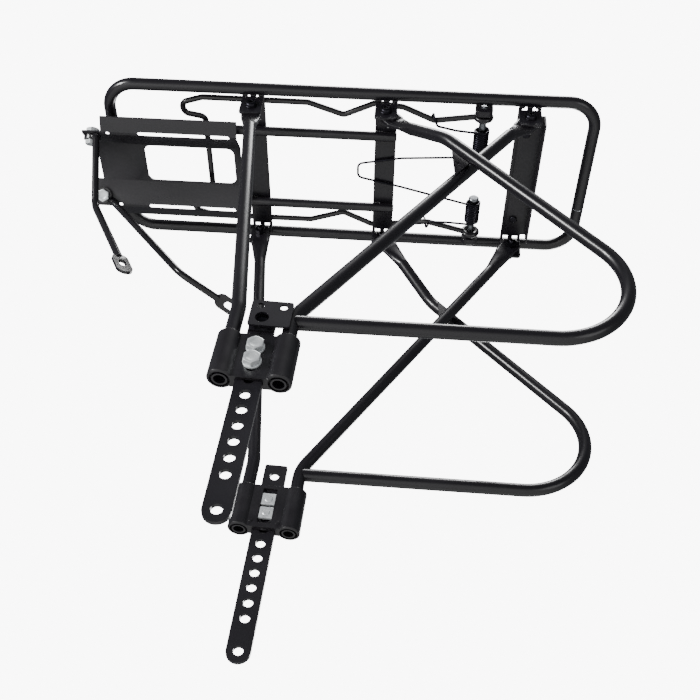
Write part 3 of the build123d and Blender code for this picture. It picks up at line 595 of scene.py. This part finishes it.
# Bolts that clamp each perforated strip in its bracket
stripFastening = {
    "bolt": {"headWidth": 10.0, "headHeight": 4.0, "diameter": 5.9, "pitch": 1.0, "length": 15.7},
    "washer": {"outer": 12.0, "bore": 6.5, "height": 1.6},
}
for side, sign in (("left", -1), ("right", 1)):
    outward = (0, sign, 0)
    size = stripFastening["bolt"]
    spots = []
    for middle, span in islands("strip_bolts_" + side):
        size["length"] = span.y - size["headHeight"]
        headBase = middle.y + sign * (span.y / 2 - size["headHeight"])
        spots.append(((middle.x, headBase, middle.z), outward))
    node = "strip_bolts_" + side
    placeFasteners("strip_bolt_pair_" + side, hexBoltMesh("stripBolt", size), spots,
                   # the zinc finish carries a painted reflection: near-white colour and lowered metal make the
                   # heads look bright
                   "zincWithPaintedReflection", bodyOf[node], [node])
    washer = stripFastening["washer"]
    spots = []
    for middle, span in islands("strip_washers_" + side):
        spots.append(((middle.x, middle.y - sign * span.y / 2, middle.z), outward))
    node = "strip_washers_" + side
    placeFasteners("strip_washer_pair_" + side, washerMesh("stripWasher", washer), spots,
                   "zincWithPaintedReflection", bodyOf[node], [node])

# Button head screws through the plate ends, with their washers and nuts
tubeFastening = {
    "screw": {"headDiameter": 9.5, "headHeight": 2.75, "diameter": 4.9, "pitch": 0.8,
              "socket": 3.0, "length": 12.0},
    "washer": {"outer": 10.0, "bore": 5.3, "height": 1.0},
    "nut": {"width": 8.0, "height": 4.0, "bore": 5.1},
}
spots = []
for middle, span in islands("fitting_bolts"):
    sign = 1 if middle.y > 0 else -1
    tubeFastening["screw"]["length"] = span.y - tubeFastening["screw"]["headHeight"]
    headBase = middle.y + sign * (span.y / 2 - tubeFastening["screw"]["headHeight"])
    spots.append(((middle.x, headBase, middle.z), (0, sign, 0)))
placeFasteners("tube_screws", domeScrewMesh("tubeScrew", tubeFastening["screw"]), spots,
               "blackOxide", "frame", ["fitting_bolts"])
spots = []
for middle, span in islands("fitting_washers"):
    sign = 1 if middle.y > 0 else -1
    tubeFastening["washer"]["height"] = span.y
    spots.append(((middle.x, middle.y - sign * span.y / 2, middle.z), (0, sign, 0)))
placeFasteners("tube_washers", washerMesh("tubeWasher", tubeFastening["washer"]), spots,
               "blackOxide", "frame", ["fitting_washers"])
spots = []
for middle, span in islands("fitting_nuts"):
    sign = 1 if middle.y > 0 else -1
    tubeFastening["nut"]["height"] = span.y
    spots.append(((middle.x, middle.y + sign * span.y / 2, middle.z), (0, -sign, 0)))
placeFasteners("tube_nuts", nutMesh("tubeNut", tubeFastening["nut"]), spots,
               "blackOxide", "frame", ["fitting_nuts"])

# Bolts that the stay arms swing on, square to the sloping wings
stayFastening = {
    "bolt": {"headWidth": 10.0, "headHeight": 4.0, "diameter": 5.9, "pitch": 1.0, "length": 11.4},
    "nut": {"width": 10.0, "height": 5.0, "bore": 6.1},
    "headBase": 3.6,
    "nutStart": 1.8,
}
boltSpots = []
nutSpots = []
for side, sign in (("left", -1), ("right", 1)):
    joint = jointAt[side + "_stay_swing"]
    down = Vector(joint["axis"])
    down = down if down.z < 0 else -down
    place = Vector(joint["pos_m"]) / mm
    boltSpots.append((place + down * stayFastening["headBase"], down))
    nutSpots.append((place - down * stayFastening["nutStart"], -down))
placeFasteners("stay_bolt_pair", hexBoltMesh("stayBolt", stayFastening["bolt"]), boltSpots,
               "zincWithPaintedReflection", "frame", ["stay_bolts"])
placeFasteners("stay_nut_pair", nutMesh("stayNut", stayFastening["nut"]), nutSpots,
               "zincWithPaintedReflection", "frame", ["stay_nuts"])
print("bolts placed")


def roundedPath(points, radii, steps=8):
    points = [Vector(point) for point in points]
    path = [points[0]]
    for before, corner, after, radius in zip(points, points[1:], points[2:], radii):
        into = (corner - before).normalized()
        away = (after - corner).normalized()
        turnAngle = into.angle(away)
        setback = radius * math.tan(turnAngle / 2)
        start = corner - into * setback
        centre = corner + (away - into).normalized() * (radius / math.cos(turnAngle / 2))
        axis = into.cross(away).normalized()
        for step in range(steps + 1):
            path.append(centre + Matrix.Rotation(turnAngle * step / steps, 3, axis) @ (start - centre))
    path.append(points[-1])
    return path


# Weld beads, painted over with the rest of the frame: three ribs hold each plate end to its rail,
# and short runs hold the inner rods under the front and middle plates
weld = {
    "seed": 11,
    "stepShare": 0.75,
    "tabBead": 1.3,
    "tabRun": 3.2,
    "tabPitch": 6.8,
    "tabInset": 4.4,
    "tabBelowRail": 2.6,
    "rodBead": 1.1,
    "rodRun": 4.0,
    "rodSpread": 5.0,
    "rodOffset": 2.2,
    "rodDepth": 0.4,
}
railLow, railHigh = boxMm("top_loop")
railZ = (railLow.z + railHigh.z) / 2
railY = railHigh.y - (railHigh.z - railLow.z) / 2
tabSeams = []
for plate in ("front", "mid", "rear"):
    low, high = boxMm("cross_plate_" + plate)
    centre = (low.x + high.x) / 2
    for side in (-1, 1):
        y = side * (railY - weld["tabInset"])
        z = railZ - weld["tabBelowRail"]
        for rib in (-1, 0, 1):
            x = centre + rib * weld["tabPitch"]
            tabSeams.append([(x - weld["tabRun"] / 2, y, z), (x + weld["tabRun"] / 2, y, z)])
weldSeams("tab_welds", tabSeams, weld["tabBead"])
rodSeams = []
for side in ("left", "right"):
    rodLow, rodHigh = boxMm("inner_rod_" + side)
    z = rodHigh.z - weld["rodDepth"]
    for plate in ("front", "mid"):
        low, high = boxMm("cross_plate_" + plate)
        for edge in (-1, 1):
            x = (low.x + high.x) / 2 + edge * weld["rodSpread"]
            y = (rodLow.y + rodHigh.y) / 2 + edge * weld["rodOffset"]
            rodSeams.append([(x - weld["rodRun"] / 2, y, z), (x + weld["rodRun"] / 2, y, z)])
weldSeams("rod_welds", rodSeams, weld["rodBead"])
print("welds laid")

# Torsion spring: one wire through both coils and the long middle leg, and a hooked leg on each side
spring = {
    "wire": 2.0,
    "coilRadius": 5.5,
    "turns": 10.5,
    "pointsPerTurn": 28,
    "innerY": 27.2,
    "outerY": 48.0,
    "tipX": 47.0,
    "tipHalfWidth": 7.0,
    "waistX": 84.0,
    "waistY": 15.0,
    "legHeight": 422.7,
    "kink": (110.0, 53.5, 423.5),
    "hookReach": 3.9,
}
pivot = Vector(jointAt["clamp_lift"]["pos_m"]) / mm
bottom = pivot.z - spring["coilRadius"]
coil = []
for step in range(int(spring["turns"] * spring["pointsPerTurn"]) + 1):
    share = step / (spring["turns"] * spring["pointsPerTurn"])
    angle = -math.pi / 2 + 2 * math.pi * spring["turns"] * share
    y = spring["innerY"] + (spring["outerY"] - spring["innerY"]) * share
    coil.append(Vector((pivot.x + spring["coilRadius"] * math.cos(angle), y,
                        pivot.z + spring["coilRadius"] * math.sin(angle))))
halfLeg = [
    (pivot.x, spring["innerY"], bottom),
    (pivot.x - 22, spring["innerY"] - 5, bottom + 1),
    (spring["waistX"], spring["waistY"], spring["legHeight"] - 0.5),
    (spring["tipX"], spring["tipHalfWidth"], spring["legHeight"]),
]
middleLeg = roundedPath(halfLeg + [(x, -y, z) for x, y, z in halfLeg[::-1]], [10, 30, 5, 5, 30, 10])
otherCoil = [Vector((point.x, -point.y, point.z)) for point in coil]
wholeWire = coil[::-1] + middleLeg[1:-1] + otherCoil
springMesh = runTree("spring_wire", curveThrough("springPath", wholeWire), wireTree, {
    "Wire Radius": spring["wire"] / 2 * mm, "Sides": 12, "Material": finishes["springWire"]})
springMesh.shade_smooth()
placePiece("spring_wire", springMesh, "springWire", "frame", ["torsion_spring"])
for side, sign in (("left", -1), ("right", 1)):
    kinkX, kinkY, kinkZ = spring["kink"]
    reach = spring["hookReach"]
    legPath = roundedPath([
        (pivot.x + 2, sign * spring["outerY"], bottom),
        (pivot.x - 2, sign * spring["outerY"], bottom),
        (pivot.x - 22, sign * (spring["outerY"] + 0.5), bottom + 2),
        (kinkX + 3, sign * (kinkY - 3), kinkZ - reach),
        (kinkX, sign * (kinkY + reach + 0.6), kinkZ - reach),
        (kinkX - 1, sign * (kinkY + reach + 0.6), kinkZ + reach + 0.3),
        (kinkX - 2, sign * (kinkY - 1), kinkZ + reach + 0.3),
    ], [4, 12, 2.5, 2.5, 2.5])
    legMesh = runTree("spring_leg_" + side, curveThrough("legPath", legPath), wireTree, {
        "Wire Radius": spring["wire"] / 2 * mm, "Sides": 12, "Material": finishes["springWire"]})
    legMesh.shade_smooth()
    placePiece("spring_leg_" + side, legMesh, "springWire", "spring_clamp")
print("spring wound")

for node in ("strip_nuts_left", "strip_nuts_right"):
    finishNode(node, "zincWithPaintedReflection", edgeMm=0.25)
for node in ("accessory_screw", "lamp_screws"):
    finishNode(node, "blackOxide", edgeMm=0.2)

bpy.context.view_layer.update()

floorMesh = bpy.data.meshes.new("floor")
half = studio["floorReach"]
drop = -studio["floorDrop"]
floorMesh.from_pydata([(-half, -half, drop), (half, -half, drop), (half, half, drop), (-half, half, drop)],
                      [], [(0, 1, 2, 3)])
floor = bpy.data.objects.new("floor", floorMesh)
bpy.context.scene.collection.objects.link(floor)
floorPaint, floorTree, floorPlace = startMaterial("paleFloor")
floorTone = addNode(floorTree, "ShaderNodeTexNoise", {"Vector": floorPlace, "Scale": 3.0, "Detail": 2.0})
floorColour = addNode(floorTree, "ShaderNodeMix", {
    0: floorTone.outputs[0], 6: linearColour("#ececea"), 7: linearColour(studio["floorColour"])},
    data_type="RGBA")
endMaterial(floorTree, addNode(floorTree, "ShaderNodeBsdfPrincipled", {
    "Base Color": floorColour.outputs[2], "Roughness": 0.8}))
floorMesh.materials.append(floorPaint)
print("floor laid")
